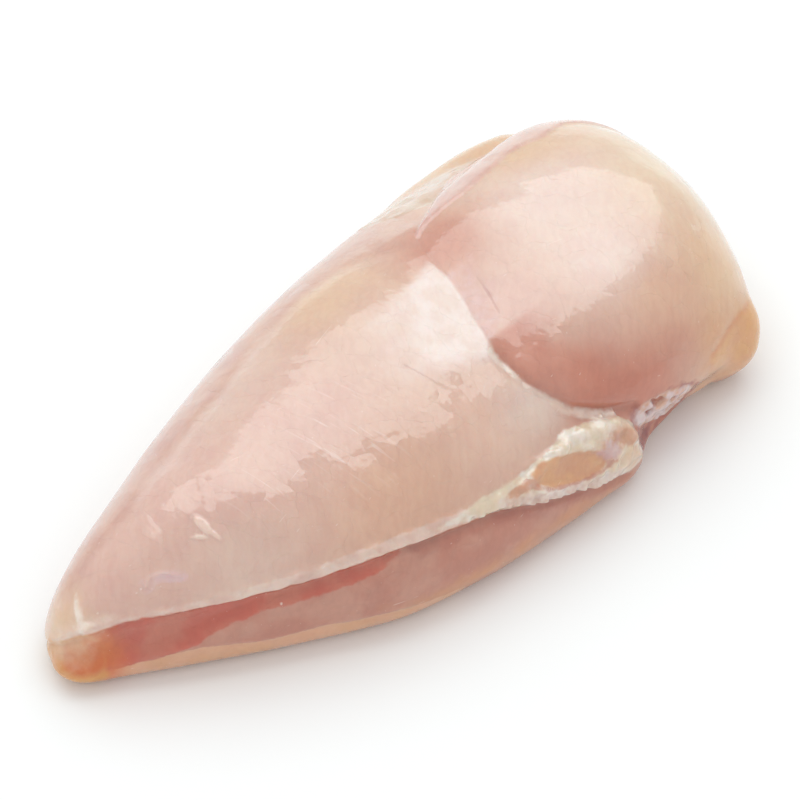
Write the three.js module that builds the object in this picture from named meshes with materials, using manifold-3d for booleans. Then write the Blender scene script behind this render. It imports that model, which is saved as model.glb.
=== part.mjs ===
// A raw boneless chicken breast, skinless, lying with its smooth outer side up: one solid of meat and fat.
// Millimetres, +Z up. +X runs from the thin tail to the thick shoulder, and -Y is the straight breastbone
// side. The origin is on the resting surface, under the middle of the breast.

import * as THREE from 'three';
import { mergeVertices } from 'three/addons/utils/BufferGeometryUtils.js';
import Module from 'manifold-3d';

// Driving dimensions
const LENGTH = 180;
const WIDTH = 88;
const THICKNESS = 39;

// Every place below is [along, across, up], in percent of the length, the width and the thickness. Once all
// is joined, settle() sets the outer size to exactly these three.
const place = ([along, across, up]) =>
  new THREE.Vector3(along * LENGTH, across * WIDTH, up * THICKNESS).multiplyScalar(0.01);

// Each point of an edge has a fourth number: how far the wall below it stands out, in percent of the width.
// The near edge of the main lobe, where the seam of fat runs from the tail to the fat pad.
const seamEdge = [
  [-47.4, 2.5, 31, 5.5], [-45, -1, 36, 5], [-36.7, -13, 46, 4.5], [-27.2, -24, 53, 5.5], [-17, -33.5, 55, 7],
  [-6, -39, 50, 7], [2, -43, 38, 4.5], [9, -46, 26, 2],
];

// A lobe is a dome from its crown down to a rim, then a wall down to a flat foot.
// rim: the closed edge, anticlockwise from above. rows: how many the dome, the wall and the foot have, each
// with as many points as around says. level: how level the dome is round its crown. fullness: how full it is
// over the lowest and over the highest part of the rim, from 0.5, a round shoulder, to 1, a crisp edge.
const mainLobe = {
  crown: [-10, 1, 89],
  rim: [
    ...seamEdge, [15, -46.5, 18, 1], [20.5, -41, 12, -1], [26, -28, 12, 0], [36, 5, 14, 0],
    [41, 30, 14, 0], [38, 44, 14, 0], [26, 48, 15, 0], [14, 48.5, 16, 0], [2, 46.5, 17, 0],
    [-11, 41.5, 18, 0], [-24, 34, 18, 0], [-36, 25.5, 19, 0], [-43.8, 19, 21, 0.5], [-47.4, 14, 23, 1.5],
    [-48.6, 9, 25, 2.5],
  ],
  rows: [12, 5, 2],
  around: 104,
  level: 2.2,
  fullness: [0.58, 0.72],
};

const shoulderLobe = {
  crown: [26, -3, 99],
  rim: [
    [16.6, -44, 42, -1], [26, -45.5, 32, -4], [33, -44.7, 28, -4], [38.3, -39.3, 30, -4], [42, -28, 32, -3],
    [45.1, -13, 32, -2], [46.7, 3, 32, -2], [46.7, 17, 32, -2], [44.2, 28.5, 35, -2], [37.6, 35.2, 42, -2],
    [24.5, 33, 54, 0], [13.5, 27, 61, 0], [8, 16.5, 60, 0], [6.8, 8, 59, 0], [4.6, -8, 59, 0],
    [2.6, -22.5, 56, 0], [5.6, -34, 52, 0],
  ],
  rows: [12, 6, 2],
  around: 80,
  level: 2.4,
  fullness: [0.56, 0.5],
};

// The plump end of the near side, under the shoulder.
const fatPad = {
  crown: [7, -39, 55],
  rim: [
    [-4, -41.5, 42, 0], [3, -45.5, 34, 0], [9, -48, 28, 0], [14, -48.5, 24, 0], [17.3, -44, 27, 0],
    [14.5, -38, 40, 0], [8, -32, 50, 0], [0, -34, 50, 0],
  ],
  rows: [6, 4, 1],
  around: 28,
  level: 2.2,
  fullness: [0.5, 0.6],
};

// The strip of fat along the far side.
const fatStrip = {
  crown: [27, 41, 48],
  rim: [
    [10, 43, 24, 0], [26, 33, 40, 0], [38, 35, 36, 0], [41.5, 43, 28, 0], [37.5, 48, 20, 0],
    [28, 49.5, 18, 0], [18, 48.5, 20, 0],
  ],
  rows: [5, 3, 1],
  around: 32,
  level: 2.2,
  fullness: [0.6, 0.6],
};

// The flap of membrane and fat at the near corner of the shoulder.
const cornerTab = {
  crown: [34, -39, 46],
  rim: [
    [29.5, -41.5, 22, -1], [32.6, -45.7, 20, -1], [36.2, -45.2, 22, -2], [38.4, -42, 30, -2],
    [39, -36, 36, -2], [35, -32, 44, 0], [30, -38, 36, 0],
  ],
  rows: [4, 3, 1],
  around: 20,
  level: 2.2,
  fullness: [0.5, 0.5],
};

// The oval hollow in the fat pad where the meat shows through: a long ball is cut out of it, depth deep.
// outward is the way that the pad faces there, and turn and dip lay the ball along the pad, in degrees.
const padWindow = {
  middle: [4.5, -44.7, 45.4],
  outward: [-0.15, -0.87, 0.47],
  turn: -12,
  dip: 10,
  halfLength: 12,
  radius: 4.2,
  depth: 1.2,
  around: 24,
  rows: 12,
};

// The seam starts inside the tail and ends inside the fat pad. drop: how far its middle lies under the edge.
const fatSeam = {
  start: [-46, 6, 22],
  radius: 1.1,
  drop: 0.6,
  steps: 52,
  around: 8,
};

const FOOT_TUCK = 2.5; // how far a wall draws in again at the resting surface
const FULLEST = 0.7; // how far down a wall it stands out the most
const WELD = 1e-3; // points nearer than this are one point

const quarterSine = (share) => Math.sin((Math.PI / 2) * share);

function lobe({ crown, rim, rows: [domeRows, wallRows, footRows], around, level, fullness }) {
  const top = place(crown);
  const rimLine = new THREE.CatmullRomCurve3(rim.map(place), true, 'centripetal');
  const heights = rim.map((point) => place(point).z);
  const lowest = Math.min(...heights);
  const highest = Math.max(...heights);
  const lips = rim.map((point) => (point[3] * WIDTH) / 100);
  const allRows = domeRows + wallRows + footRows;
  const geometry = new THREE.SphereGeometry(1, around, allRows);
  const { position, uv } = geometry.attributes;
  for (let i = 0; i < position.count; i++) {
    const row = Math.round((1 - uv.getY(i)) * allRows);
    const turn = rimLine.getUtoTmapping(THREE.MathUtils.euclideanModulo(uv.getX(i), 1));
    const at = rimLine.getPoint(turn);
    const tangent = rimLine.getTangent(turn);
    const outward = new THREE.Vector3(tangent.y, -tangent.x, 0).normalize();
    const point = at.clone();
    if (row <= domeRows) {
      const reach = quarterSine(row / domeRows);
      const full = THREE.MathUtils.mapLinear(at.z, lowest, highest, ...fullness);
      point.lerpVectors(top, at, reach);
      point.z = THREE.MathUtils.lerp(at.z, top.z, (1 - reach ** level) ** full);
    } else {
      const down = Math.min((row - domeRows) / wallRows, 1);
      const inward = Math.max((row - domeRows - wallRows) / footRows, 0);
      const step = Math.floor(turn * rim.length);
      const lip = THREE.MathUtils.lerp(
        lips[step % rim.length],
        lips[(step + 1) % rim.length],
        turn * rim.length - step,
      );
      const stand = lip * quarterSine(Math.min(down / FULLEST, 1));
      const tuck = FOOT_TUCK * Math.max(2 * down - 1, 0) ** 2;
      point.addScaledVector(outward, stand - tuck).lerp(top, inward);
      point.z = at.z * (1 - down);
    }
    position.setXYZ(i, point.x, point.y, point.z);
  }
  return geometry;
}

// A round cord of fat along the seam's edge.
function seam({ start, radius, drop, steps, around }) {
  const middle = [start, ...seamEdge].map(place);
  middle.forEach((point) => point.setZ(point.z - drop));
  const section = new THREE.Shape().absarc(0, 0, radius, 0, 2 * Math.PI);
  return new THREE.ExtrudeGeometry(section, {
    steps,
    curveSegments: around / 2,
    bevelEnabled: false,
    extrudePath: new THREE.CatmullRomCurve3(middle, false, 'centripetal'),
  });
}

function longBall({ middle, outward, turn, dip, halfLength, radius, depth, around, rows }) {
  const centre = place(middle).addScaledVector(new THREE.Vector3(...outward).normalize(), radius - depth);
  return new THREE.SphereGeometry(1, around, rows)
    .rotateX(Math.PI / 2)
    .scale(halfLength, radius, radius)
    .rotateY(THREE.MathUtils.degToRad(dip))
    .rotateZ(THREE.MathUtils.degToRad(turn))
    .translate(...centre);
}

const wasm = await Module();
wasm.setup();

function solidOf(geometry) {
  geometry.deleteAttribute('normal');
  geometry.deleteAttribute('uv');
  const closed = mergeVertices(geometry, WELD);
  return new wasm.Manifold(new wasm.Mesh({
    numProp: 3,
    vertProperties: closed.attributes.position.array,
    triVerts: new Uint32Array(closed.index.array),
  }));
}

function geometryOf(solid) {
  const { vertProperties, triVerts } = solid.getMesh();
  return new THREE.BufferGeometry()
    .setAttribute('position', new THREE.BufferAttribute(vertProperties, 3))
    .setIndex(new THREE.BufferAttribute(triVerts, 1));
}

// Brings the joined flesh to exactly the driving size, centred over the origin and standing on the surface.
function settle(geometry) {
  geometry.computeBoundingBox();
  const { min, max } = geometry.boundingBox;
  geometry.translate(-(min.x + max.x) / 2, -(min.y + max.y) / 2, -min.z);
  return geometry.scale(LENGTH / (max.x - min.x), WIDTH / (max.y - min.y), THICKNESS / (max.z - min.z));
}

const lumps = [mainLobe, shoulderLobe, fatPad, fatStrip, cornerTab].map(lobe);
const joined = [...lumps, seam(fatSeam)].map(solidOf).reduce((whole, next) => whole.add(next));
const flesh = joined.subtract(solidOf(longBall(padWindow)));

const breast = new THREE.Mesh(
  settle(geometryOf(flesh)),
  new THREE.MeshStandardMaterial({ color: 0xe6c0ac, roughness: 0.35, metalness: 0 }),
);
breast.name = 'breast';

const group = new THREE.Group();
group.add(breast);
export default group;
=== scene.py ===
import math

import bmesh
import bpy
import numpy as np
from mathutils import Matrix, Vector, noise


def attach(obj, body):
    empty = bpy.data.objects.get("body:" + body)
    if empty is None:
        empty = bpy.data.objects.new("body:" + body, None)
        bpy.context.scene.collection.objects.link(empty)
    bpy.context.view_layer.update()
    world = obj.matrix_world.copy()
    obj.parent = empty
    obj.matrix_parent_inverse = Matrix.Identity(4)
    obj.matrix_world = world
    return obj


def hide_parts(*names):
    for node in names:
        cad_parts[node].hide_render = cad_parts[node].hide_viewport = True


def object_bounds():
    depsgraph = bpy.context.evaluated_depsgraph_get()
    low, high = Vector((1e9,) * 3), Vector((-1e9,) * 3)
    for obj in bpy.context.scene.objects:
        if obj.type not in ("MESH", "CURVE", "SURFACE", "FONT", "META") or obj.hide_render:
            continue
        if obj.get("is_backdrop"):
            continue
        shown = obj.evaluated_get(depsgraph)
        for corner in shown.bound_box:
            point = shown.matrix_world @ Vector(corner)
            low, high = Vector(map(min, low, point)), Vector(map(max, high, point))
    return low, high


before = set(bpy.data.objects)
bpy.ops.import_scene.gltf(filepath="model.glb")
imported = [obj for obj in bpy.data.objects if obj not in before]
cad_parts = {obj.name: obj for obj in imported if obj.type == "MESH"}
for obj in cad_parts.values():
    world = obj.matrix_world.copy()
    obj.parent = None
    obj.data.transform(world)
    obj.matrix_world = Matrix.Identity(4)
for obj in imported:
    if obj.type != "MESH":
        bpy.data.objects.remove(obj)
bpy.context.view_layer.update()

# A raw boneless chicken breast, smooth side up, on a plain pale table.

mm = 0.001


def say(words):
    print("scene:", words)


# Azimuth 0 looks along +Y and 90 along -X. Places and distances in mm.
studio = {
    "azimuth": -45,
    "elevation": 50,
    "lens": 120,
    "sensor": 36,
    "nearest": 10,
    "farthest": 20000,
    "distance": 561.6,
    "target": (1.7, -0.1, 14),
    "softboxAzimuth": 145,
    "softboxElevation": 63,
    "softboxDistance": 1000,
    "softboxSides": (1300, 900),
    "softboxColour": (0.9, 1.0, 1.0),
    "softboxPower": 5,
    "glossPower": 7,  # the same softbox again, only for reflections
    "surround": 0.87,
    "tableSide": 6000,
    "tableGap": 0.2,  # the table lies this far under the meat
    "tableWhite": 0.9,
    "tableRoughness": 0.9,
    "tableSpecular": 0.1,
}


def towards(azimuth, elevation):
    turn, lift = math.radians(azimuth), math.radians(elevation)
    flat = math.cos(lift)
    return Vector((math.sin(turn) * flat, -math.cos(turn) * flat, math.sin(lift)))


def face(thing, target):
    thing.rotation_mode = "QUATERNION"
    thing.rotation_quaternion = (target - thing.location).to_track_quat("-Z", "Y")


def addCamera():
    data = bpy.data.cameras.new("camera")
    data.lens = studio["lens"]
    data.sensor_width = studio["sensor"]
    data.clip_start = studio["nearest"] * mm
    data.clip_end = studio["farthest"] * mm
    camera = bpy.data.objects.new("camera", data)
    bpy.context.scene.collection.objects.link(camera)
    target = Vector(studio["target"]) * mm
    way = towards(studio["azimuth"], studio["elevation"])
    camera.location = target + way * studio["distance"] * mm
    face(camera, target)
    bpy.context.scene.camera = camera


def addSoftbox(name, power):
    data = bpy.data.lights.new(name, "AREA")
    data.shape = "RECTANGLE"
    data.size = studio["softboxSides"][0] * mm
    data.size_y = studio["softboxSides"][1] * mm
    data.energy = power
    data.color = studio["softboxColour"]
    softbox = bpy.data.objects.new(name, data)
    bpy.context.scene.collection.objects.link(softbox)
    way = towards(studio["softboxAzimuth"], studio["softboxElevation"])
    softbox.location = way * studio["softboxDistance"] * mm
    face(softbox, Vector((0, 0, 0)))
    return softbox


def addSurround():
    world = bpy.data.worlds.new("surround")
    world.use_nodes = True
    background = world.node_tree.nodes["Background"]
    background.inputs["Color"].default_value = (1, 1, 1, 1)
    background.inputs["Strength"].default_value = studio["surround"]
    bpy.context.scene.world = world


def addTable():
    bm = bmesh.new()
    bmesh.ops.create_grid(bm, x_segments=1, y_segments=1, size=studio["tableSide"] / 2 * mm)
    bmesh.ops.translate(bm, verts=bm.verts, vec=(0, 0, -studio["tableGap"] * mm))
    mesh = bpy.data.meshes.new("table")
    bm.to_mesh(mesh)
    bm.free()
    table = bpy.data.objects.new("table", mesh)
    bpy.context.scene.collection.objects.link(table)
    material = bpy.data.materials.new("tableWhite")
    material.use_nodes = True
    shader = material.node_tree.nodes["Principled BSDF"]
    shader.inputs["Base Color"].default_value = (*[studio["tableWhite"]] * 3, 1)
    shader.inputs["Roughness"].default_value = studio["tableRoughness"]
    shader.inputs["Specular IOR Level"].default_value = studio["tableSpecular"]
    mesh.materials.append(material)
    table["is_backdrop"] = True


addCamera()
addSoftbox("softbox", studio["softboxPower"])
sheen = addSoftbox("gloss", studio["glossPower"])
sheen.visible_diffuse = False
addSurround()
addTable()
bpy.context.scene.view_settings.view_transform = "Standard"
say("camera, softbox and table are in place")


# Lines over the meat, in mm. points: places on the surface. up: the way that counts as
# positive across the line.
guides = {
    # the groove in front of the shoulder, from the far side to the near side
    "crease": {
        "points": [(25.5, 19, 31.5), (22.9, 14, 32.4), (21.4, 8, 32.7), (20, 2, 32.4), (18, -4, 32.2),
                   (15.8, -10, 31.8), (13.8, -15.5, 31.3), (13.5, -20, 30.8), (13.9, -24.5, 29.4),
                   (15.5, -28.5, 27.7), (19, -33, 24.4), (25, -36.5, 21.5), (32, -39, 19.5)],
        "up": (1, 0, 0.2),
    },
    "creaseFatEdge": {
        "points": [(12.3, -15.7, 31.5), (13, -22, 29.9), (13.7, -25.8, 28.5), (16.2, -32, 24.6),
                   (21, -36, 21.3)],
        "up": (1, 0.6, 0.4),
    },
    # the upper and the lower edge of the white fat on the near side, from the tail to the notch
    "fatTop": {
        "points": [(-87, 7, 10), (-85, 3.4, 14.2), (-81.3, 0, 15.9), (-70, -8.3, 18.2),
                   (-58.2, -15.8, 20.3), (-45.7, -22.7, 21.5), (-38, -26, 22.6), (-27, -30.2, 22.8),
                   (-13.4, -33.7, 21.5), (-1.8, -35.2, 21.2), (8.3, -35.4, 21.5), (14.4, -34.4, 22.6),
                   (23.2, -37.1, 20.8), (27.6, -38.7, 19.1), (30.5, -41, 15)],
        "up": (0, 0.7, 0.7),
    },
    "fatLow": {
        "points": [(-88, 7.2, 8.9), (-85, 2.1, 13.2), (-77.5, -3.2, 16.1), (-64.4, -13.7, 18.2),
                   (-55, -18.8, 18.6), (-46.6, -23.5, 19.1), (-35.2, -28.7, 20.2), (-29.3, -31.2, 20.6),
                   (-18.2, -34.3, 19.3), (-8.7, -36.3, 18), (-2.1, -38.6, 16.2), (2.4, -40.6, 14.8),
                   (6.7, -41.4, 13.2), (12, -42, 11.6), (16.5, -43.2, 10), (21.5, -43.9, 8.5),
                   (26, -43.6, 7), (31.4, -42.6, 6.6)],
        "up": (0, 0.3, 0.95),
    },
    # the lower edge of the red meat under the seam, and of the thin membrane under that
    "redLow": {
        "points": [(-83.6, -4.5, 5.8), (-76.8, -8.8, 7.1), (-71.6, -12.1, 8.6), (-68, -14.2, 9.8),
                   (-62.2, -16.8, 13.2), (-56.6, -19.6, 15), (-49.6, -23.7, 15.4), (-42.3, -27.4, 16.2),
                   (-34.4, -30.7, 17.4), (-28, -31.8, 20)],
        "up": (0, 0, 1),
    },
    "membraneLow": {
        "points": [(-74.2, -10.5, 7.8), (-68.3, -14.3, 8.5), (-56.5, -21.9, 7), (-47.7, -27.1, 7.8),
                   (-38.6, -32, 7.1), (-32.8, -34.7, 6.8), (-26.3, -36.8, 5.5)],
        "up": (0, 0, 1),
    },
    # where the far flank turns down
    "farTurn": {
        "points": [(-81, 8.4, 18.2), (-73.2, 9.9, 22.5), (-64.8, 10, 26), (-52.5, 15, 26.5),
                   (-42.7, 16.8, 27.6), (-31.7, 18.2, 29.2), (-20, 21.9, 29), (-2.7, 25, 29.1),
                   (8.8, 24.8, 29.7), (16, 21, 31.5), (22.3, 15.9, 32.3)],
        "up": (-0.2, 0.9, -0.4),
    },
    # where the membrane lies in flakes
    "flakes": {
        "points": [(-55, -2, 30), (-44, -10, 30.2), (-34, -11, 32.2), (-25, -14, 33), (-16, -15.8, 33),
                   (-9, -18.8, 32.1), (2, -17.2, 32.5), (9, -16, 32)],
        "up": (0, 1, 0.2),
    },
    "shoulderFlakes": {
        "points": [(15, -14, 31.5), (22, -22, 33.5), (30, -24, 34.6), (44, -28, 33.5), (56, -26, 34),
                   (66, -22, 34)],
        "up": (0, 1, 0.2),
    },
    # the rolled edge of membrane along the far side of the shoulder
    "rollInner": {
        "points": [(25.1, 17.6, 32.4), (29.3, 18.6, 33.2), (35.1, 18.6, 34.4), (39.5, 18, 35),
                   (45.4, 18.6, 34.9), (52.9, 19.8, 34.5), (58.5, 19.9, 34.3), (64.3, 17.6, 35.1),
                   (72.4, 14.6, 34)],
        "up": (0, 0.9, -0.4),
    },
    "rollOuter": {
        "points": [(25.3, 18.9, 32), (32.3, 21.9, 31.4), (40, 26.6, 28.2), (47, 30.6, 24.6),
                   (54.6, 32.6, 22.3), (62.3, 34.8, 18.3), (71.2, 36, 16.7), (77, 37.7, 13.7)],
        "up": (0, 0.8, -0.6),
    },
    "stripLow": {
        "points": [(28, 32.8, 24.2), (30.8, 28.9, 26.9), (33.8, 27.3, 27.8), (37.6, 25.8, 28.3)],
        "up": (0.3, 0.9, -0.3),
    },
    # thin folds in the membrane on both sides of the crease
    "membraneLine": {
        "points": [(-3.3, -6.4, 34.7), (-2.5, -10.1, 34.3), (-1.4, -13.6, 33.8), (0.2, -17.2, 33)],
        "up": (1, 0, 0),
    },
    "wrinkleFar": {
        "points": [(24.2, -0.1, 35.1), (22.7, -5.1, 34.8), (20.4, -10.4, 34.7)],
        "up": (1, 0, 0),
    },
    "wrinkleNear": {
        "points": [(17.1, -5.3, 33.3), (16.5, -9.9, 33.4), (16.6, -14.1, 33.5)],
        "up": (1, 0, 0),
    },
    # a little ridge of membrane near the tail
    "arc": {
        "points": [(-71.7, -3.2, 21.8), (-71, -2.9, 22.5), (-69.9, -3.1, 23), (-68.3, -3.9, 23.4),
                   (-65.5, -6.5, 23)],
        "up": (-1, -1, 0),
    },
    # the fold at the near corner of the shoulder
    "fold": {
        "points": [(35.8, -39.7, 19.1), (44.8, -40.3, 18), (51.2, -40.4, 16.6), (56.4, -40.1, 17.3),
                   (59, -39.7, 18.1), (62.6, -38.7, 18.9), (66.2, -37.7, 19.1), (70.7, -36.2, 17.9)],
        "up": (-0.3, 0.4, 0.9),
    },
}

# Ovals on the surface, in mm: the middle, the way along and across them, half the length and half the
# width.
ovals = {
    "padArea": ((12, -40, 17), (1, -0.15, -0.15), (0, 0.5, 0.87), 17, 8),
    "notchArea": ((38, -40, 13), (1, 0, 0), (0, 0, 1), 12, 8),
    "flapArea": ((-57.6, -5, 28.8), (0.2, 1, -0.3), (1, 0, 0), 4.5, 3.5),
    "window": ((11.3, -40.1, 17.8), (1, -0.27, -0.27), (0, 0.5, 0.87), 10, 3.2),
    "windowSmall": ((-1, -37, 19.2), (1, -0.2, 0.05), (0, 0.5, 0.87), 3.4, 1.0),
    "bruise": ((21.5, -42.6, 17.2), (1, 0, -0.4), (0, 0.4, 0.9), 3.6, 2.4),
    "ring": ((26, -41.8, 17), (1, -0.3, -0.7), (0, 0.4, 0.9), 4.5, 2),
    "padEnd": ((26.5, -43, 11), (0.6, -0.1, -1), (1, 0, 0.6), 4.5, 3),
    "greyVeil": ((12, -27, 28), (1, 0.5, 0), (0.4, -0.6, -0.6), 8, 6),
    # the notch and the wedge are dark red meat in the gap under the shoulder, darkened further as painted
    # shade
    "notch": ((40, -40, 11), (1, 0.05, -0.35), (0, 0, 1), 13, 7.5),
    "pearls": ((41, -39, 12.4), (1, 0.1, -0.5), (0.3, 0.3, 1), 10.5, 4.2),
    "wedge": ((34.5, -39.8, 7), (1, 0.3, -0.5), (0, 0, 1), 4.5, 1.6),
    "knob": ((-86, 6, 13), (0.5, 0.3, 0.8), (0.3, -1, 0), 7, 6),
    # commaTop and commaFoot: a comma-shaped painted highlight on a small ridge of the tail
    "commaTop": ((-83.2, 4, 16.7), (0.5, 0.8, 0.55), (1, -0.8, 0.3), 3.2, 0.8),
    "commaFoot": ((-84, 2, 15.4), (0.8, -0.6, 0.2), (0.3, 0.6, 0.7), 1.9, 0.9),
    "flap": ((-56.9, -4.6, 29), (0.1, -1, -0.35), (1, 0, 0), 2.4, 0.9),
    "flapSliver": ((-58.8, -5.3, 27.9), (0.7, -0.7, 0), (0.7, 0.7, 0), 1.6, 0.35),
    "flapTail": ((-56.4, -7.2, 28.1), (0.2, -1, -0.4), (1, 0, 0), 1.8, 0.4),
}
ovalDepth = 4  # mm that the surface may curve away from an oval's plane

# Small drops and bits on the surface: where, how wide and how high, in mm.
beads = [
    ((-72.6, -2.8, 21.4), 0.5, 0.3),
    ((-73.6, -2.6, 20.9), 0.4, 0.25),
    ((-69.6, -5.3, 21.8), 0.4, 0.25),
    ((-74.4, -3.4, 20.1), 0.4, 0.25),
    ((-82.5, 1.2, 16.7), 0.5, 0.3),
    ((-81.6, 0.7, 17.2), 0.6, 0.3),
    ((-80.8, 1.0, 17.7), 0.5, 0.3),
    ((-80.9, 0.2, 17), 0.4, 0.25),
    ((-52.9, -21.6, 15.7), 0.6, 0.4),
    ((2.4, -41.2, 15.6), 0.9, 0.7),
    ((23.6, -36.6, 21.3), 0.8, 0.5),
    ((26.6, -37.3, 20.4), 0.7, 0.5),
]


# For each place: how far it is from the guide, and how far up across it.
def measure(points, guide):
    line = np.array(guides[guide]["points"], float)
    up = np.array(guides[guide]["up"], float)
    best = np.full(len(points), np.inf)
    side = np.zeros(len(points))
    for a, b in zip(line[:-1], line[1:]):
        step = b - a
        square = step @ step
        share = np.clip((points - a) @ step / square, 0, 1)
        offset = points - a - share[:, None] * step
        far = np.linalg.norm(offset, axis=1)
        across = up - step * (up @ step) / square
        across /= np.linalg.norm(across)
        nearer = far < best
        best[nearer] = far[nearer]
        side[nearer] = (offset @ across)[nearer]
    return best, side


# For each place: how many mm it is inside the oval's edge.
def oval(points, name):
    middle, along, across, halfLength, halfWidth = ovals[name]
    offset = points - np.array(middle, float)
    a = np.array(along, float) / np.linalg.norm(along)
    c = np.array(across, float) - a * (np.array(across, float) @ a)
    c /= np.linalg.norm(c)
    reach = np.hypot(offset @ a / halfLength, offset @ c / halfWidth)
    depth = offset - np.outer(offset @ a, a) - np.outer(offset @ c, c)
    inside = (1 - reach) * min(halfLength, halfWidth)
    return inside - np.maximum(np.linalg.norm(depth, axis=1) - ovalDepth, 0)


def away(points, spot):
    return np.linalg.norm(points - np.array(spot, float), axis=1)


# how far apart the patterns of two seeds lie, in sizes of the pattern
meshSeedStep = 17.3
shaderSeedStep = 7.1


def lumps(points, size, seed):
    shifted = points / size + seed * meshSeedStep
    return np.array([noise.noise(point) for point in shifted.tolist()])


def hump(distance, width):
    return np.exp(-((distance / width) ** 2))


def ease(value, low, high):
    share = np.clip((value - low) / (high - low), 0, 1)
    return share * share * (3 - 2 * share)


# mm to take off a mark, so that it ends where the value goes from start to stop
def fade(value, start, stop, depth=3):
    return depth * ease(value, start, stop)


def least(*values):
    return np.minimum.reduce(values)


def most(*values):
    return np.maximum.reduce(values)


meat = {
    "grain": 0.8,  # mm, one face of the even mesh
    "weld": 0.001,  # mm
    "sharpGuides": ("crease", "fatTop", "fatLow", "rollOuter"),  # the broad passes leave them alone
    "creaseSharp": (-16, -8),  # y in mm: the crease is sharp only on the near side
    "broadPasses": 60,  # they take the flat faces out of the broad surfaces
    "broadStart": 1.5,  # mm from a guide
    "broadFull": 6.0,
    "finePasses": 4,  # over all of it
    "fineGuides": ("crease", "fatTop", "fatLow", "rollInner", "rollOuter", "stripLow", "fold",
                   "membraneLine", "wrinkleFar", "wrinkleNear", "arc"),
    "fineOvals": ("padArea", "notchArea", "flapArea"),
    "fineReach": 1.3,  # mm from a fine guide that is split once more
    "beadReach": 2.0,  # mm from a bead that is split again
    "stripFrom": (24, 27, 10),  # the box round the strip of fat, split once more too
    "stripTo": (75, 60, 60),
}


def places(mesh):
    flat = np.empty(len(mesh.vertices) * 3)
    mesh.vertices.foreach_get("co", flat)
    return flat.reshape(-1, 3) / mm


def outwards(mesh):
    flat = np.empty(len(mesh.vertices) * 3)
    mesh.vertices.foreach_get("normal", flat)
    return flat.reshape(-1, 3)


def moveTo(mesh, points):
    mesh.vertices.foreach_set("co", (points * mm).ravel())
    mesh.update()


def evenMesh(node):
    bm = bmesh.new()
    bm.from_mesh(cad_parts[node].data)
    bmesh.ops.remove_doubles(bm, verts=bm.verts, dist=meat["weld"] * mm)
    mesh = bpy.data.meshes.new("meat")
    bm.to_mesh(mesh)
    bm.free()
    piece = bpy.data.objects.new("meat", mesh)
    bpy.context.scene.collection.objects.link(piece)
    remesh = piece.modifiers.new("even", "REMESH")
    remesh.mode = "VOXEL"
    remesh.voxel_size = meat["grain"] * mm
    bpy.context.view_layer.update()
    ready = piece.evaluated_get(bpy.context.evaluated_depsgraph_get())
    mesh = bpy.data.meshes.new_from_object(ready)
    piece.modifiers.clear()
    piece.data = mesh
    return piece


# Moves each value towards the mean of its neighbours, by its own share.
def relax(values, edges, share, passes):
    count = len(values)
    ends = np.concatenate([edges[:, 0], edges[:, 1]])
    others = np.concatenate([edges[:, 1], edges[:, 0]])
    neighbours = np.bincount(ends, minlength=count)
    for _ in range(passes):
        for axis in range(3):
            mean = np.bincount(ends, values[others, axis], count) / neighbours
            values[:, axis] += share * (mean - values[:, axis]) / 2
    return values


def smooth(piece):
    mesh = piece.data
    points = places(mesh)
    edges = np.empty(len(mesh.edges) * 2, int)
    mesh.edges.foreach_get("vertices", edges)
    edges = edges.reshape(-1, 2)
    share = np.ones(len(points))
    for name in meat["sharpGuides"]:
        near = ease(measure(points, name)[0], meat["broadStart"], meat["broadFull"])
        if name == "crease":
            near = most(near, ease(points[:, 1], *meat["creaseSharp"]))
        share = least(share, near)
    rested = relax(points.copy(), edges, share, meat["broadPasses"])
    # what the passes took off the whole form comes back, without its faces
    lost = relax(points - rested, edges, share, meat["broadPasses"])
    moveTo(mesh, relax(rested + lost, edges, np.ones(len(points)), meat["finePasses"]))


def split(piece, fine):
    bm = bmesh.new()
    bm.from_mesh(piece.data)
    bm.verts.ensure_lookup_table()
    edges = [edge for edge in bm.edges if all(fine[vert.index] for vert in edge.verts)]
    bmesh.ops.subdivide_edges(bm, edges=edges, cuts=1, use_grid_fill=True)
    bm.to_mesh(piece.data)
    bm.free()


def splitFine(piece):
    points = places(piece.data)
    fine = least(*[measure(points, name)[0] for name in meat["fineGuides"]]) < meat["fineReach"]
    fine |= most(*[oval(points, name) for name in meat["fineOvals"]]) > 0
    fine |= np.all((points > meat["stripFrom"]) & (points < meat["stripTo"]), axis=1)
    split(piece, fine)
    points = places(piece.data)
    split(piece, least(*[away(points, bead[0]) for bead in beads]) < meat["beadReach"])


piece = evenMesh("breast")
say(f"even mesh: {len(piece.data.vertices)} vertices")
smooth(piece)
splitFine(piece)
say(f"smoothed and split: {len(piece.data.vertices)} vertices, {len(piece.data.polygons)} faces")


# A mark says for each place how many mm it lies inside some part of the surface, and is below 0 outside it.
# In all these functions the numbers are mm, and the factors make a border softer.
def nearSideMarks(points, side):
    x, y, z = points.T
    farSide = fade(y, 8, 12, 5)
    below = -side["fatLow"]
    fat = least(side["fatLow"], -side["fatTop"], 31.5 - x)
    return {
        "below": least(below, 31 - x) - farSide,
        "red": least(below, side["redLow"], -27 - x) - farSide,
        # painted shade: darker in a band up to 3 mm under the overhang of the seam
        "shade": least(below, (3 - below) * 0.4) - fade(-x, 25, 35) - farSide,
        "tan": least(-side["membraneLow"], -18 - x) - farSide,
        "tanRight": least((8 - z) * 0.3, (x + 30) * 0.1) - fade(side["fatLow"], 0, 1, 5),
        "seam": fat - 0.15 - fade(x, -12, 0, 2),
        "fat": fat - fade(-x, 8, 28, 2),
    }


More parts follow.
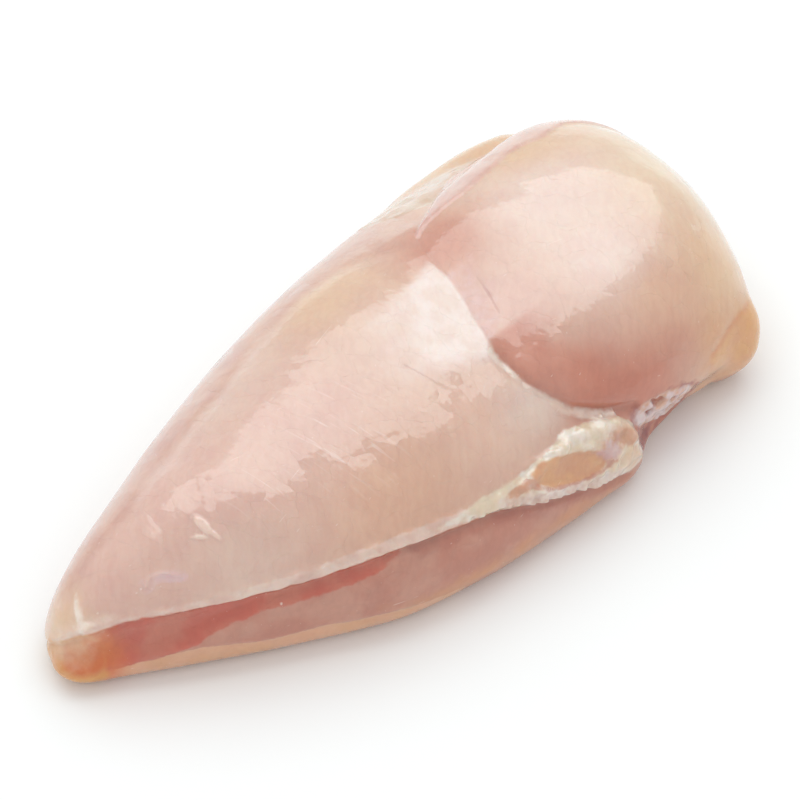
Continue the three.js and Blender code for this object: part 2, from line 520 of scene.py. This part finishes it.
def padMarks(points, side):
    x, y, z = points.T
    marks = {name: oval(points, name) for name in ("window", "windowSmall", "bruise", "ring", "padEnd")}
    marks["lip"] = least(side["fatLow"], 2.6 - side["fatLow"], 24 - x) - fade(-x, 4, 12)
    # only along the lower half of the window
    marks["lipLine"] = np.where(z + 0.27 * x < 20.6, 0.3 - np.abs(marks["window"] + 0.2), -5)
    return marks


def creaseMarks(points, side, gap):
    x, y, z = points.T
    behind = side["crease"]
    fat = least(-behind, side["creaseFatEdge"])
    return {
        "creaseFat": np.where((y < -14) & (x < 27) & (z > 19), fat, -5),
        "lobeRed": least(behind, (11 - gap["crease"]) * 0.1) - fade(y, -16, -8),
        # the pale zone by the crease: whitish membrane, and painted highlight where the reflection is
        # brightest
        "cloudAndSheen": least(-behind * 1.5, (17 - gap["crease"]) * 0.1) - fade(y, 5, 15) - fade(-y, 8, 24),
        "veil": least(behind * 1.5, (5 - gap["crease"]) * 0.2) - fade(y, 4, 9) - fade(-y, 12, 15),
        "greyVeil": oval(points, "greyVeil") * 0.2,
        # dark lines along the membrane folds: painted shade in their grooves
        "thin": 0.3 - least(gap["wrinkleFar"], gap["wrinkleNear"], gap["membraneLine"]),
    }


def farSideMarks(points, side):
    x, y, z = points.T
    strip = least(side["stripLow"], side["rollOuter"], (z - 19.5) * 0.4)
    roll = least(side["rollInner"], -side["rollOuter"])
    return {
        "far": least(side["farTurn"], (24 - x) * 0.3),
        "strip": np.where((x > 26) & (x < 60), strip, -5),
        "roll": roll - fade(-x, -25, -22, 5) - fade(x, 62, 74, 5),
    }


def shoulderMarks(points, side, gap, grain):
    x = points[:, 0]
    return {
        "fold": np.where(x > 54, -side["fold"], -5),
        "foldLine": 0.5 - gap["fold"] - fade(-x, -56, -52),
        # the notch and the wedge paint shade into the gap, over its red meat
        "notch": least(oval(points, "notch"), 0.6 - side["fold"]),
        "pearls": least(oval(points, "pearls"), grain * 5 + 2.2),
        "wedge": oval(points, "wedge"),
    }


def tailMarks(points, side, gap):
    x = points[:, 0]
    aboveFat = fade(side["fatLow"], 0, 1)
    rim = (away(points, (-85.5, 0.5, 9)) - 4.6) * 0.8
    return {
        "tip": (9 - away(points, (-87, 1.5, 7.5))) * 0.25 - aboveFat,
        "tipRim": least(rim, -84 - x) - aboveFat,
        # whitish fat along the seam at the tail, paled further as painted highlight
        "tipEdgeAndSheen": least(side["fatLow"], 2.8 - side["fatLow"]) - fade(x, -81, -74),
        "knob": oval(points, "knob") * 0.25,
        # painted highlight on a small ridge
        "glintComma": most(oval(points, "commaTop"), oval(points, "commaFoot")),
        "flap": most(*[oval(points, name) for name in ("flap", "flapSliver", "flapTail")]),
        "lilac": least(side["arc"], 1.6 - side["arc"]) - fade(gap["arc"], 1.5, 2.5),
        # the drops are relief; their near-white colour is painted highlight
        "bead": most(*[wide / 2 - away(points, spot) for spot, wide, high in beads]),
    }


# From 0 to 1, or a little more: how much the membrane lies in flakes, and how much painted highlight lies
# on it in streaks.
def membraneShares(points, gap):
    nearest = least(gap["flakes"], gap["shoulderFlakes"] + 1.5)
    return {
        "flakes": hump(nearest, 5) * (1 + 0.5 * ease(-points[:, 0], 30, 45)),
        "streakGlints": most(hump(away(points, (-24, -10, 33.5)), 9), hump(away(points, (-45, -8, 32)), 5)),
    }


# Broad swells and hollows of the soft meat: where, how far they reach and how high they are, in mm.
swells = [
    ((-90, 2.5, 4), 4, 1.4),
    ((-60, -5, 28), 9, 0.6),
    ((-48, -8, 31), 10, 3.2),
    ((-50, 12, 28), 10, -0.8),
    ((-10, -20, 31.5), 10, 1.6),
    ((5, 10, 34), 11, 0.8),
    ((32, 13, 34), 11, 0.5),
    ((43, -5, 39), 12, -0.8),
    ((61, -23, 33), 9, 0.9),
    ((62, 0, 38), 10, 0.6),
    ((70, -12, 35), 10, 2.2),
    ((74, 4, 30), 12, 0.9),
    ((70, -38, 15), 6, 0.8),
    ((67, -40.5, 8.5), 5, 1.2),
    ((56, -37, 3), 4, 1.0),
]

# Heights, or heights and widths, in mm.
relief = {
    "creaseFill": (1.1, 5),  # the membrane bridges the groove on the far side
    "creaseLine": (-0.25, 0.6),
    "creaseNear": (-0.9, 1.2),
    "creaseFat": 0.45,
    "seam": (0.25, 1.0),
    "lip": (0.4, 0.7),
    "undercut": (-0.7, 0.7),
    "ridge": (0.7, 1.3),
    "ring": (0.35, 0.7),
    "window": -0.5,
    "padLumps": 0.5,
    "stripLumps": 0.5,
    "redHollow": -1.2,
    "membraneStep": (0.35, 3),
    "farGroove": (-0.15, 2.5),
    "roll": 0.5,
    "fold": (-0.25, 1.6),
    "thin": (-0.15, 0.4),
    "arc": (0.3, 0.5),
    # the ridge under the painted highlight on the tail
    "glintComma": 0.3,
    "flap": 0.35,
    "notch": -1.0,
    "broad": (0.4, 26),
    "middle": (0.16, 11),
}


def rise(name, distance):
    high, width = relief[name]
    return high * hump(distance, width)


def creaseHeight(points, marks, gap, grain):
    x, y, z = points.T
    near = ease(-y, 12, 18)
    height = (rise("creaseFill", gap["crease"]) + rise("creaseLine", gap["crease"])) * (1 - near)
    height += rise("creaseNear", gap["crease"]) * near * ease(z, 15, 20)
    height += relief["creaseFat"] * ease(marks["creaseFat"], -0.4, 0.6) * (0.8 + 0.9 * grain)
    return height + rise("thin", marks["thin"] - 0.3)


def padHeight(points, marks, side, small, grain, coarse):
    x = points[:, 0]
    onPad = ease(x, -14, 0) * ease(-x, -33, -28)
    lumpy = ease(marks["fat"], -0.4, 0.8) * onPad * ease(-marks["window"], -0.2, 0.4)
    lipShare = ease(x, -22, -10) * ease(-x, -26, -20)
    height = rise("seam", marks["seam"] - 0.6) * (1 + 2.2 * grain)
    height += rise("lip", side["fatLow"] - 0.7) * (1 + 2.5 * small) * lipShare
    height += rise("undercut", side["fatLow"] + 0.8) * ease(-x, -30, -22)
    height += rise("ridge", side["fatTop"] + 1.8) * onPad
    height += rise("ring", marks["window"] + 0.9) * (1 + grain)
    height += relief["window"] * ease(marks["window"], -0.1, 0.7)
    return height + relief["padLumps"] * lumpy * (coarse + 0.7 * grain + 0.3 * small)


def flankHeight(points, marks, side, gap, coarse):
    x = points[:, 0]
    step = ease(side["membraneLow"], -0.3, 0.3) - 0.5
    height = relief["redHollow"] * ease(marks["red"], 0, 3.5)
    height += rise("membraneStep", side["membraneLow"]) * step * ease(-x, 24, 32)
    height += rise("farGroove", side["farTurn"]) * ease(-gap["farTurn"], -5, -2)
    height += relief["roll"] * ease(marks["roll"], -0.5, 1.1)
    return height + relief["stripLumps"] * ease(marks["strip"], -0.4, 0.8) * coarse


def detailHeight(points, marks, gap, small):
    x = points[:, 0]
    height = rise("fold", gap["fold"]) * ease(x, 46, 56)
    betweenPearls = 1 - ease(marks["pearls"], -0.5, 0.8) + 0.4 * small
    height += relief["notch"] * ease(marks["notch"], 0, 2.5) * betweenPearls
    height += relief["flap"] * ease(marks["flap"], -0.2, 0.3)
    height += relief["glintComma"] * ease(marks["glintComma"], -0.5, 0.5)
    height += rise("arc", gap["arc"])
    for spot, wide, high in beads:
        height += high * hump(away(points, spot), wide / 2)
    return height


def broadHeight(points, under):
    height = np.zeros(len(points))
    for seed, name in enumerate(("broad", "middle"), 3):
        high, width = relief[name]
        height += high * lumps(points, width, seed) * under
    for centre, reach, high in swells:
        height += high * hump(away(points, centre), reach)
    return height


def sculpt(piece):
    points = places(piece.data)
    fields = {name: measure(points, name) for name in guides}
    gap = {name: field[0] for name, field in fields.items()}
    side = {name: field[1] for name, field in fields.items()}
    small, grain, coarse = lumps(points, 1.5, 6), lumps(points, 2.4, 1), lumps(points, 4.2, 2)
    marks = {
        **nearSideMarks(points, side),
        **padMarks(points, side),
        **creaseMarks(points, side, gap),
        **farSideMarks(points, side),
        **shoulderMarks(points, side, gap, grain),
        **tailMarks(points, side, gap),
        **membraneShares(points, gap),
    }
    # the foot stays flat on the table
    under = ease(points[:, 2], 0.5, 6)
    height = creaseHeight(points, marks, gap, grain)
    height += padHeight(points, marks, side, small, grain, coarse)
    height += flankHeight(points, marks, side, gap, coarse)
    height += detailHeight(points, marks, gap, small)
    height += broadHeight(points, under)
    points += outwards(piece.data) * (height * under)[:, None]
    points[:, 2] = np.maximum(points[:, 2], 0)
    moveTo(piece.data, points)
    return marks


marks = sculpt(piece)
say("relief is sculpted")


# A tone is given as a screen shows it, and the shader needs it linear.
def shade(red, green, blue):
    channels = np.array([red, green, blue]) / 255
    return np.where(channels < 0.04045, channels / 12.92, ((channels + 0.055) / 1.055) ** 2.4)


tones = {
    "rosy": (192, 126, 104),
    "pink": (210, 170, 157),
    "palePink": (212, 180, 165),
    # a pale tone for painted highlight
    "paintedHighlightPale": (219, 192, 181),
    "cream": (218, 192, 162),
    "grey": (205, 178, 163),
    "tan": (208, 165, 140),
    "paleTan": (213, 176, 157),
    "peach": (212, 174, 140),
    "yellow": (216, 180, 146),
    "amber": (204, 152, 112),
    "orange": (206, 148, 88),
    "red": (190, 132, 110),
    "deepRed": (176, 104, 84),
    "brownPink": (184, 140, 122),
}

# Broad tints of the meat: where, how far each reaches in mm, and its tone.
tints = [
    ((-86, 6, 14), 5, "cream"),
    ((-88, 3, 5), 5, "orange"),
    ((-76, 4, 22), 10, "pink"),
    ((-54, 6, 31), 14, "pink"),
    ((-30, 18, 29), 14, "palePink"),
    ((0, 24, 29), 14, "peach"),
    ((18, 30, 26), 8, "palePink"),
    ((-28, -2, 35), 14, "pink"),
    ((2, 0, 34), 12, "palePink"),
    ((-56, -14, 23), 9, "palePink"),
    ((-24, -26, 26), 12, "tan"),
    ((0, -26, 29), 9, "paleTan"),
    ((13, -29, 27), 5, "grey"),
    ((26, 12, 34), 9, "rosy"),
    ((24, -10, 35), 8, "pink"),
    # these two tints are painted highlight: the shoulder is paler where its reflection is brightest
    ((50, 5, 39), 14, "paintedHighlightPale"),
    ((46, -16, 37), 9, "paintedHighlightPale"),
    ((58, 20, 34), 12, "peach"),
    ((76, -4, 31), 12, "cream"),
    ((24, -32, 26), 7, "deepRed"),
    ((34, -38, 22), 6, "deepRed"),
    ((46, -37, 25), 7, "red"),
    ((50, -30, 31), 8, "tan"),
    ((68, -28, 27), 9, "yellow"),
    ((58, -38, 20), 5, "amber"),
    ((68, -40, 14), 6, "orange"),
    ((0, 42, 8), 25, "pink"),
    ((60, 36, 8), 20, "peach"),
    ((0, 0, 0), 25, "brownPink"),
]
tintFlat, tintFall = 0.15, 3  # how level a tint is round its place, and how fast it falls

# Marks laid over the tints, from the first to the last. edge: how soft the border is. ragged, size: how far
# it strays, over what length. patch: how large the patches of the two tones are. All these are in mm.
# cover: how much is hidden of what lies under.
layers = [
    {"mark": "far", "edge": 3, "ragged": 1.0, "size": 7, "cover": 0.75,
     "tones": [(190, 139, 124), (196, 149, 129)], "patch": 9},
    {"mark": "greyVeil", "edge": 1.0, "ragged": 0.3, "size": 4, "cover": 0.6,
     "tones": [(212, 188, 176), (206, 182, 172)], "patch": 5},
    {"mark": "lobeRed", "edge": 0.5, "ragged": 0.2, "size": 4, "cover": 0.8,
     "tones": [(192, 124, 102), (186, 114, 92)], "patch": 9},
    {"mark": "veil", "edge": 0.7, "ragged": 0.5, "size": 3, "cover": 0.5,
     "tones": [(214, 176, 176), (212, 168, 158)], "patch": 3},
    # whitish membrane, and painted highlight where the reflection is brightest
    {"mark": "cloudAndSheen", "edge": 0.8, "ragged": 0.4, "size": 7, "cover": 0.8,
     "tones": [(226, 210, 204), (220, 198, 188)], "patch": 5},
    {"mark": "below", "edge": 0.5, "ragged": 0.3, "size": 3, "cover": 1,
     "tones": [(180, 118, 98), (186, 132, 112)], "patch": 9},
    {"mark": "tanRight", "edge": 0.8, "ragged": 0.3, "size": 4, "cover": 0.7,
     "tones": [(202, 140, 88), (196, 134, 96)], "patch": 9},
    {"mark": "tan", "edge": 0.3, "ragged": 0.5, "size": 4, "cover": 0.9,
     "tones": [(212, 160, 126), (208, 156, 116)], "patch": 9},
    # painted shade under the overhang of the seam
    {"mark": "shade", "edge": 0.5, "ragged": 0.3, "size": 3, "cover": 0.6,
     "tones": [(162, 92, 76), (168, 104, 86)], "patch": 5},
    {"mark": "red", "edge": 0.35, "ragged": 0.5, "size": 3, "cover": 1,
     "tones": [(184, 86, 66), (187, 106, 84)], "patch": 9},
    {"mark": "tip", "edge": 1.0, "ragged": 0.3, "size": 3, "cover": 0.95,
     "tones": [(198, 98, 34), (200, 106, 40)], "patch": 5},
    {"mark": "tipRim", "edge": 0.8, "ragged": 0.3, "size": 3, "cover": 0.9,
     "tones": [(204, 142, 66), (206, 150, 78)], "patch": 5},
    # whitish fat, paled further as painted highlight
    {"mark": "tipEdgeAndSheen", "edge": 0.8, "ragged": 0.5, "size": 3, "cover": 0.7,
     "tones": [(224, 200, 186), (220, 192, 172)], "patch": 3},
    {"mark": "knob", "edge": 1.0, "ragged": 0.4, "size": 3, "cover": 0.7,
     "tones": [(222, 190, 168), (220, 186, 156)], "patch": 5},
    {"mark": "roll", "edge": 0.6, "ragged": 0.4, "size": 3, "cover": 0.7,
     "tones": [(208, 170, 162), (202, 158, 150)], "patch": 5},
    {"mark": "strip", "edge": 0.5, "ragged": 0.7, "size": 3, "cover": 1,
     "tones": [(206, 182, 163), (202, 168, 144)], "patch": 5},
    {"mark": "fold", "edge": 1.6, "ragged": 0.4, "size": 3, "cover": 0.6,
     "tones": [(212, 160, 106), (208, 154, 114)], "patch": 5},
    {"mark": "foldLine", "edge": 1.0, "ragged": 0.3, "size": 2, "cover": 0.6,
     "tones": [(205, 130, 76), (198, 125, 84)], "patch": 3},
    # dark red meat and painted shade in the gap
    {"mark": "notch", "edge": 0.5, "ragged": 0.8, "size": 3, "cover": 1,
     "tones": [(160, 88, 74), (182, 112, 86)], "patch": 3},
    {"mark": "pearls", "edge": 0.4, "ragged": 0.3, "size": 2, "cover": 0.9,
     "tones": [(212, 192, 192), (205, 160, 135)], "patch": 3},
    # the darkest red: painted shade at the bottom of the gap
    {"mark": "wedge", "edge": 0.5, "ragged": 0.3, "size": 2, "cover": 0.9,
     "tones": [(132, 52, 48), (146, 66, 56)], "patch": 3},
    {"mark": "creaseFat", "edge": 0.5, "ragged": 0.35, "size": 2, "cover": 0.75,
     "tones": [(222, 206, 194), (208, 180, 165)], "patch": 5},
    {"mark": "seam", "edge": 0.35, "ragged": 0.35, "size": 2, "cover": 0.7,
     "tones": [(219, 198, 186), (206, 176, 164)], "patch": 5},
    {"mark": "fat", "edge": 0.4, "ragged": 0.4, "size": 2, "cover": 1,
     "tones": [(223, 211, 199), (214, 193, 169)], "patch": 5},
    {"mark": "lip", "edge": 0.6, "ragged": 0.8, "size": 2, "cover": 0.7,
     "tones": [(218, 198, 188), (198, 164, 152)], "patch": 3},
    {"mark": "padEnd", "edge": 1.0, "ragged": 0.6, "size": 3, "cover": 0.7,
     "tones": [(214, 182, 152), (206, 166, 132)], "patch": 3},
    {"mark": "window", "edge": 0.3, "ragged": 0.3, "size": 3, "cover": 1,
     "tones": [(210, 158, 115), (204, 150, 115)], "patch": 5},
    {"mark": "lipLine", "edge": 0.25, "ragged": 0.25, "size": 2, "cover": 0.7,
     "tones": [(176, 108, 90), (190, 130, 108)], "patch": 3},
    {"mark": "windowSmall", "edge": 0.3, "ragged": 0.3, "size": 2, "cover": 1,
     "tones": [(200, 152, 124), (204, 162, 140)], "patch": 3},
    {"mark": "ring", "edge": 0.8, "ragged": 0.5, "size": 2, "cover": 0.85,
     "tones": [(186, 128, 94), (198, 148, 120)], "patch": 3},
    {"mark": "bruise", "edge": 0.9, "ragged": 0.9, "size": 2, "cover": 0.75,
     "tones": [(196, 156, 158), (192, 130, 92)], "patch": 3},
    {"mark": "lilac", "edge": 0.8, "ragged": 0.3, "size": 3, "cover": 0.6,
     "tones": [(214, 184, 190), (212, 180, 178)], "patch": 3},
    # painted highlight
    {"mark": "glintComma", "edge": 0.5, "ragged": 0.4, "size": 2, "cover": 0.75,
     "tones": [(238, 228, 218), (230, 212, 198)], "patch": 3},
    {"mark": "flap", "edge": 0.15, "ragged": 0.1, "size": 2, "cover": 0.8,
     "tones": [(232, 206, 192), (226, 198, 184)], "patch": 3},
    # painted shade in the membrane folds
    {"mark": "thin", "edge": 0.15, "ragged": 0.08, "size": 2, "cover": 0.5,
     "tones": [(176, 122, 120), (182, 130, 118)], "patch": 3},
    # painted highlight on the drops
    {"mark": "bead", "edge": 0.12, "ragged": 0, "size": 2, "cover": 0.6,
     "tones": [(240, 226, 216), (236, 216, 206)], "patch": 3},
]


def tintMeat(piece):
    points = places(piece.data)
    total = np.zeros((len(points), 1))
    colour = np.zeros((len(points), 3))
    for centre, reach, tone in tints:
        share = (1 / (tintFlat + (away(points, centre) / reach) ** tintFall))[:, None]
        total += share
        colour += share * shade(*tones[tone])
    layer = piece.data.attributes.new("tint", "FLOAT_COLOR", "POINT")
    layer.data.foreach_set("color", np.column_stack([colour / total, np.ones(len(points))]).ravel())
    for name, mark in marks.items():
        layer = piece.data.attributes.new(name, "FLOAT", "POINT")
        layer.data.foreach_set("value", mark)


# Sizes are in mm, and turns in degrees.
finish = {
    "borderSizes": (2, 3, 4, 7),  # the layers may use these as size
    "patchSizes": (3, 5, 9),  # and these as patch
    "patchEdge": (0.38, 0.62),
    "raggedPart": 4,  # the noise strays by about a quarter of its range each way
    "warp": 3,  # how far the flakes and the fibres are pushed about
    "warpSize": 4,
    "fibre": 0.025,  # how strongly the fibres show in the colour
    "fibreSize": (16, 1.2, 1.2),
    "fibreTurn": (0, -30, 50),
    "softEdge": (0.35, 0.65),  # for the fibres and the mottle
    "mottle": 0.06,
    "mottleSize": 7,
    "mottleTones": ((0.3, 0.2, 0.2, 1), (0.8, 0.8, 0.7, 1)),
    "scratch": 0.22,  # pale hairlines
    "scratchSize": (9, 0.35, 0.5),
    "scratchTurns": ((0, 0, -20), (0, 20, 60), (30, 0, 15)),
    "scratchEdge": (0.86, 0.9),
    "scratchTone": (0.9, 0.82, 0.76, 1),
    "streakGlint": 0.35,  # painted highlight: long pale streaks where the membrane catches the reflection
    "streakSize": (11, 0.7, 3),
    "streakTurn": (0, 0, -78),
    "streakEdge": (0.58, 0.72),
    "streakGlintTone": (0.9, 0.8, 0.76, 1),
    "facet": 4.0,  # the flat flakes of the membrane
    "facetLong": 2.2,  # how much longer than wide they are
    "facetTilt": 0.04,
    "flakeTilt": 0.13,
    "ripple": 0.035,  # as a share of its size
    "rippleSize": 3.2,
    "pit": 0.05,  # the same, in the fat
    "pitSize": 3,
    "pitGrain": 1.1,
    "shader": {
        "Roughness": 0.45,
        "Specular IOR Level": 0.2,
        "Subsurface Weight": 0.3,
        "Subsurface Radius": (1.0, 0.38, 0.22),
        "Subsurface Scale": 3.5 * mm,
        "Coat Weight": 1,
        "Coat Roughness": 0.1,
        "Coat IOR": 1.65,
    },
}


# Adds nodes to one material and joins them.
class Nodes:
    def __init__(self, name):
        self.material = bpy.data.materials.new(name)
        self.material.use_nodes = True
        self.tree = self.material.node_tree
        self.tree.nodes.clear()
        place = self.add("ShaderNodeTexCoord").outputs["Object"]
        self.place = self.mapped(place, (mm,) * 3)

    def add(self, kind, **settings):
        node = self.tree.nodes.new(kind)
        for name, value in settings.items():
            setattr(node, name, value)
        return node

    def put(self, socket, value):
        if isinstance(value, bpy.types.NodeSocket):
            self.tree.links.new(value, socket)
        else:
            socket.default_value = value

    # size: how long the pattern is along each of its own axes, which turn lays out
    def mapped(self, vector, size, turn=(0, 0, 0), move=(0, 0, 0)):
        node = self.add("ShaderNodeMapping", vector_type="TEXTURE")
        self.put(node.inputs["Vector"], vector)
        node.inputs["Scale"].default_value = size
        node.inputs["Rotation"].default_value = [math.radians(angle) for angle in turn]
        node.inputs["Location"].default_value = move
        return node.outputs["Vector"]

    def math(self, operation, *values):
        node = self.add("ShaderNodeMath", operation=operation)
        for socket, value in zip(node.inputs, values):
            self.put(socket, value)
        return node.outputs["Value"]

    def vector(self, operation, *values):
        node = self.add("ShaderNodeVectorMath", operation=operation)
        for socket, value in zip(node.inputs, values):
            self.put(socket, value)
        return node.outputs["Value" if operation == "DOT_PRODUCT" else "Vector"]

    def scaled(self, vector, amount):
        node = self.add("ShaderNodeVectorMath", operation="SCALE")
        self.put(node.inputs[0], vector)
        self.put(node.inputs["Scale"], amount)
        return node.outputs["Vector"]

    def field(self, name, output="Fac"):
        return self.add("ShaderNodeAttribute", attribute_name=name).outputs[output]

    def ease(self, value, low, high, bottom=0.0, top=1.0):
        node = self.add("ShaderNodeMapRange", interpolation_type="SMOOTHSTEP")
        names = ("Value", "From Min", "From Max", "To Min", "To Max")
        for name, item in zip(names, (value, low, high, bottom, top)):
            self.put(node.inputs[name], item)
        return node.outputs["Result"]

    def noise(self, size, detail, seed, place=None):
        node = self.add("ShaderNodeTexNoise")
        move = seed * size * shaderSeedStep
        self.put(node.inputs["Vector"], self.mapped(place or self.place, (size,) * 3, move=(move,) * 3))
        node.inputs["Scale"].default_value = 1
        node.inputs["Detail"].default_value = detail
        return node.outputs["Fac"]

    def mix(self, share, under, over, blend="MIX"):
        # the colour sockets of this node are 6 and 7, and 2 for the result
        node = self.add("ShaderNodeMix", data_type="RGBA", blend_type=blend)
        self.put(node.inputs["Factor"], share)
        self.put(node.inputs[6], under)
        self.put(node.inputs[7], over)
        return node.outputs[2]


def laidOver(n, colour):
    strays = {size: n.math("SUBTRACT", n.noise(size, 3, size), 0.5) for size in finish["borderSizes"]}
    patches = {}
    for size in finish["patchSizes"]:
        patches[size] = n.ease(n.noise(size, 3, size + 20), *finish["patchEdge"])
    for layer in layers:
        ragged = layer["ragged"] * finish["raggedPart"]
        mark = n.math("MULTIPLY_ADD", strays[layer["size"]], ragged, n.field(layer["mark"]))
        mask = n.ease(mark, -layer["edge"], layer["edge"], 0.0, layer["cover"])
        first, second = [(*shade(*tone), 1) for tone in layer["tones"]]
        colour = n.mix(mask, colour, n.mix(patches[layer["patch"]], first, second))
    return colour


def speckled(n, colour, strayed):
    fibres = n.noise(1, 3, 5, n.mapped(strayed, finish["fibreSize"], finish["fibreTurn"]))
    fibres = n.mix(n.ease(fibres, *finish["softEdge"]), (0, 0, 0, 1), (1, 1, 1, 1))
    colour = n.mix(finish["fibre"], colour, fibres, "OVERLAY")
    mottle = n.ease(n.noise(finish["mottleSize"], 4, 31), *finish["softEdge"])
    mottle = n.mix(mottle, *finish["mottleTones"])
    colour = n.mix(finish["mottle"], colour, mottle, "OVERLAY")
    for seed, turn in enumerate(finish["scratchTurns"], 40):
        scratch = n.noise(1, 0, seed, n.mapped(n.place, finish["scratchSize"], turn))
        scratch = n.ease(scratch, *finish["scratchEdge"], 0.0, finish["scratch"])
        colour = n.mix(scratch, colour, finish["scratchTone"])
    # pale streaks over the brightest reflection: painted highlight
    streakGlint = n.noise(1, 1, 44, n.mapped(n.place, finish["streakSize"], finish["streakTurn"]))
    streakGlint = n.ease(streakGlint, *finish["streakEdge"], 0.0, finish["streakGlint"])
    streakGlint = n.math("MULTIPLY", streakGlint, n.field("streakGlints"))
    return n.mix(streakGlint, colour, finish["streakGlintTone"])


# Relief too fine for the mesh, in mm: tilted flat flakes, a ripple, and pits in the fat.
def fineHeight(n, strayed):
    facet = finish["facet"]
    flake = n.mapped(strayed, (facet * finish["facetLong"], facet, facet), finish["streakTurn"])
    cells = n.add("ShaderNodeTexVoronoi")
    n.put(cells.inputs["Vector"], flake)
    cells.inputs["Scale"].default_value = 1
    tilt = n.vector("SUBTRACT", cells.outputs["Color"], (0.5, 0.5, 0.5))
    height = n.vector("DOT_PRODUCT", tilt, n.vector("SUBTRACT", flake, cells.outputs["Position"]))
    steep = n.ease(n.field("flakes"), 0, 1, finish["facetTilt"], finish["flakeTilt"])
    height = n.math("MULTIPLY", n.math("MULTIPLY", height, 2 * facet), steep)
    ripple = n.noise(finish["rippleSize"], 2, 9)
    height = n.math("MULTIPLY_ADD", ripple, finish["ripple"] * finish["rippleSize"], height)
    pits = n.math("MULTIPLY", n.ease(n.field("fat"), -0.3, 0.6), n.noise(finish["pitGrain"], 2, 11))
    return n.math("MULTIPLY_ADD", pits, finish["pit"] * finish["pitSize"], height)


def meatMaterial():
    n = Nodes("wetMeat")
    warp = n.add("ShaderNodeTexNoise")
    n.put(warp.inputs["Vector"], n.mapped(n.place, (finish["warpSize"],) * 3))
    warp.inputs["Scale"].default_value = 1
    strayed = n.vector("ADD", n.place, n.scaled(warp.outputs["Color"], finish["warp"]))
    colour = speckled(n, laidOver(n, n.field("tint", "Color")), strayed)
    bump = n.add("ShaderNodeBump")
    bump.inputs["Strength"].default_value = 1
    bump.inputs["Distance"].default_value = mm
    n.put(bump.inputs["Height"], fineHeight(n, strayed))
    shader = n.add("ShaderNodeBsdfPrincipled", subsurface_method="RANDOM_WALK")
    n.put(shader.inputs["Base Color"], colour)
    n.put(shader.inputs["Normal"], bump.outputs["Normal"])
    n.put(shader.inputs["Coat Normal"], bump.outputs["Normal"])
    for name, value in finish["shader"].items():
        shader.inputs[name].default_value = value
    output = n.add("ShaderNodeOutputMaterial")
    n.put(output.inputs["Surface"], shader.outputs["BSDF"])
    return n.material


tintMeat(piece)
piece.data.materials.clear()
piece.data.materials.append(meatMaterial())
piece.data.shade_smooth()
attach(piece, "root")
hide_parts("breast")
say("meat is coloured")

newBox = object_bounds()
corners = [[round(value / mm, 1) for value in corner] for corner in newBox]
say(f"box {corners[0]} to {corners[1]} mm")
